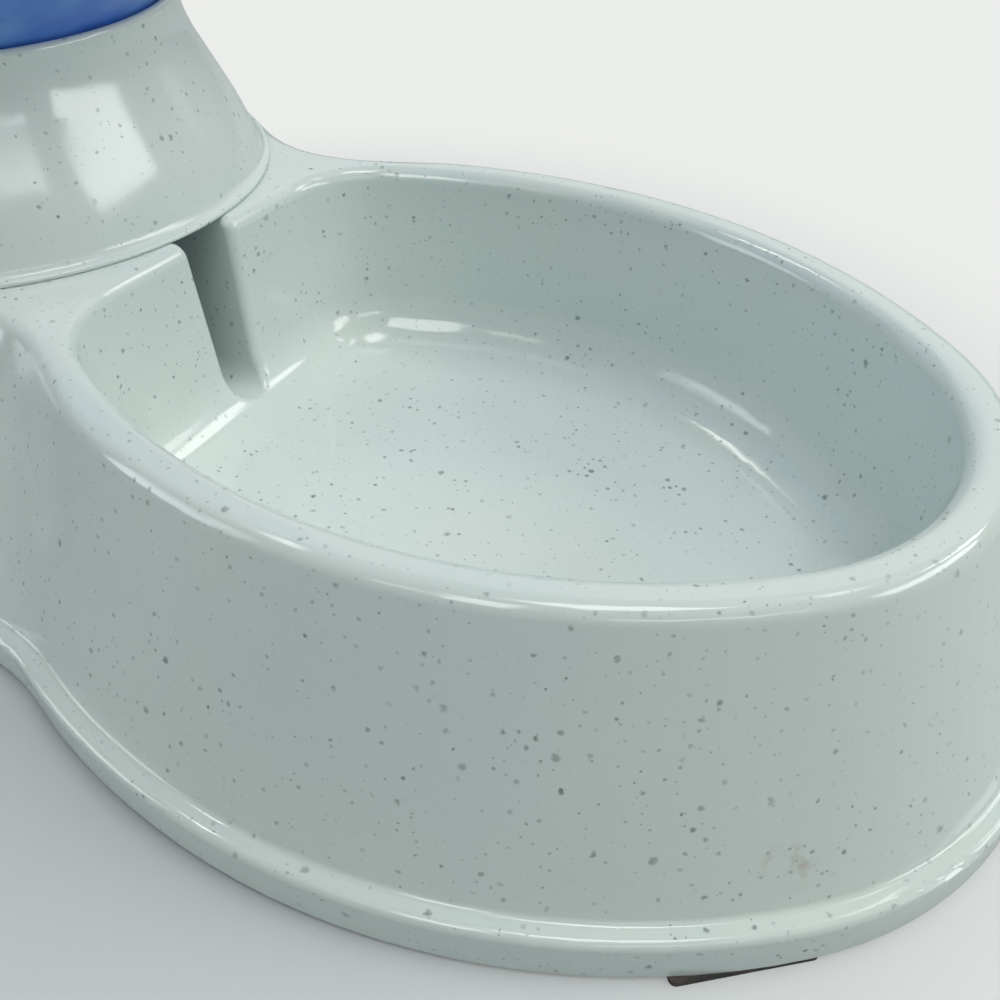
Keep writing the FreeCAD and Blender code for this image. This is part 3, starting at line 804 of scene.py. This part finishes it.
@dataclass(frozen=True)
class PhotoCamera:
    """The camera at the photograph's viewing angle."""

    place: Place = (-0.1852, -0.1771, 0.2008)
    azimuth_deg: float = -60.14
    elevation_deg: float = 39.97
    roll_deg: float = 1.10
    lens_mm: float = 37.66
    sensor_mm: float = 36.0
    nearest: float = 0.01

    def build(self) -> None:
        """Place the camera and make it the scene's own."""
        ahead = -bearing(self.azimuth_deg, self.elevation_deg)
        right = ahead.cross(Vector((0.0, 0.0, 1.0))).normalized()
        up = right.cross(ahead)
        turn = math.radians(self.roll_deg)
        tilted_right = right * math.cos(turn) + up * math.sin(turn)
        tilted_up = up * math.cos(turn) - right * math.sin(turn)
        axes = Matrix((tilted_right, tilted_up, -ahead)).transposed()
        data = bpy.data.cameras.new("photo_camera")
        data.lens = self.lens_mm
        data.sensor_width = self.sensor_mm
        data.clip_start = self.nearest
        camera = bpy.data.objects.new("photo_camera", data)
        camera.matrix_world = Matrix.Translation(self.place) @ axes.to_4x4()
        bpy.context.scene.collection.objects.link(camera)
        bpy.context.scene.camera = camera


WHITE: Colour = (1.0, 1.0, 0.985)
WARM: Colour = (1.0, 0.99, 0.97)

# A glint hangs just in front of the window that it brightens
GLINT_DISTANCE = 1.65

# Name, azimuth, elevation, width and height in degrees, glow and colour
STUDIO_LAMPS = [
    Softbox("overhead", 10.0, 76.0, 56.0, 40.0, 2.6, WHITE, shows=False),
    Softbox("far_wall", 105.0, 32.0, 80.0, 36.0, 0.75, WHITE),
    Softbox("left_high", -70.0, 66.0, 50.0, 34.0, 0.35, (1.0, 0.98, 0.92), shows=False),
    Softbox("low_window", 17.0, 26.0, 34.0, 13.0, 5.6, WHITE),
    Softbox(
        "low_glint", 17.0, 26.0, 34.0, 13.0, 1.0, WHITE, fills=False, distance=GLINT_DISTANCE
    ),
    Softbox("high_window", 44.0, 37.0, 8.0, 18.0, 7.0, (1.0, 0.995, 0.98), fills=False),
    Softbox("side_strip", -36.0, 32.0, 32.0, 4.0, 5.0, (0.93, 0.97, 1.0), fills=False),
    Softbox("near_window", -80.0, 48.0, 11.0, 22.0, 6.0, WARM, fills=False),
    Softbox("corner_lamp", -20.0, 78.0, 22.0, 16.0, 7.0, WARM, fills=False),
    Softbox("warm_lamp", -98.0, 45.0, 8.0, 8.0, 3.0, (1.0, 0.95, 0.80), fills=False),
    Softbox("rear_window", -138.0, 18.0, 26.0, 30.0, 2.0, (0.90, 0.95, 1.0)),
    Softbox(
        "rear_glint", -138.0, 14.0, 24.0, 22.0, 2.5, (0.85, 0.92, 1.0), fills=False,
        distance=GLINT_DISTANCE,
    ),
    Softbox("rear_tube", 180.0, 62.0, 30.0, 3.0, 12.0, (1.0, 0.99, 0.96), fills=False),
    Softbox("rim_lamp", 41.0, 59.0, 12.0, 6.0, 5.0, WARM, fills=False),
]

CAP_PLASTIC = PlainPlastic("cap_plastic", body=(0.05, 0.08, 0.13), worn=(0.09, 0.12, 0.17))
VALVE_PLASTIC = PlainPlastic(
    "valve_plastic", body=(0.70, 0.71, 0.70), worn=(0.62, 0.62, 0.60), roughness=(0.25, 0.38)
)


def main() -> None:
    """Build every piece in order and report each one."""
    logging.basicConfig(level=logging.INFO, format="%(name)s: %(message)s")
    bpy.context.scene.view_settings.view_transform = "Standard"
    PhotoCamera().build()
    Studio(lamps=STUDIO_LAMPS).build()
    effects = Effects()
    finishes = {
        Slots.SPECKLED: SpeckledPlastic().material(effects),
        Slots.BOTTLE: BottlePlastic().material(effects),
        Slots.CAP: CAP_PLASTIC.material(effects),
        Slots.VALVE: VALVE_PLASTIC.material(effects),
        Slots.STEEL: SpringSteel().material(effects),
        Slots.RUBBER: Rubber().material(effects),
    }
    shells = [
        SmoothShell("base", Bodies.STAND, Slots.SPECKLED),
        SmoothShell("collar", Bodies.STAND, Slots.SPECKLED),
        SmoothShell("bottle", Bodies.STAND, Slots.BOTTLE),
        SpringCoil("valve_spring", Bodies.STAND, Slots.STEEL, sharp_angle=50.0),
    ]
    for shell in shells:
        piece = shell.build()
        dress(piece, finishes[shell.slot])
        LOG.info("%s: %d faces", piece.name, len(piece.data.polygons))
    kept = {
        "bottle_cap": Slots.CAP,
        "cap_gasket": Slots.RUBBER,
        "valve_plunger": Slots.VALVE,
        "valve_seal": Slots.RUBBER,
        "spring_cage": Slots.VALVE,
        "foot_front_left": Slots.RUBBER,
        "foot_front_right": Slots.RUBBER,
        "foot_rear_left": Slots.RUBBER,
        "foot_rear_right": Slots.RUBBER,
    }
    for node, finish in kept.items():
        dress(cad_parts[node], finishes[finish])
        LOG.info("%s: %s", node, finish.value)


if __name__ == "__main__":
    main()
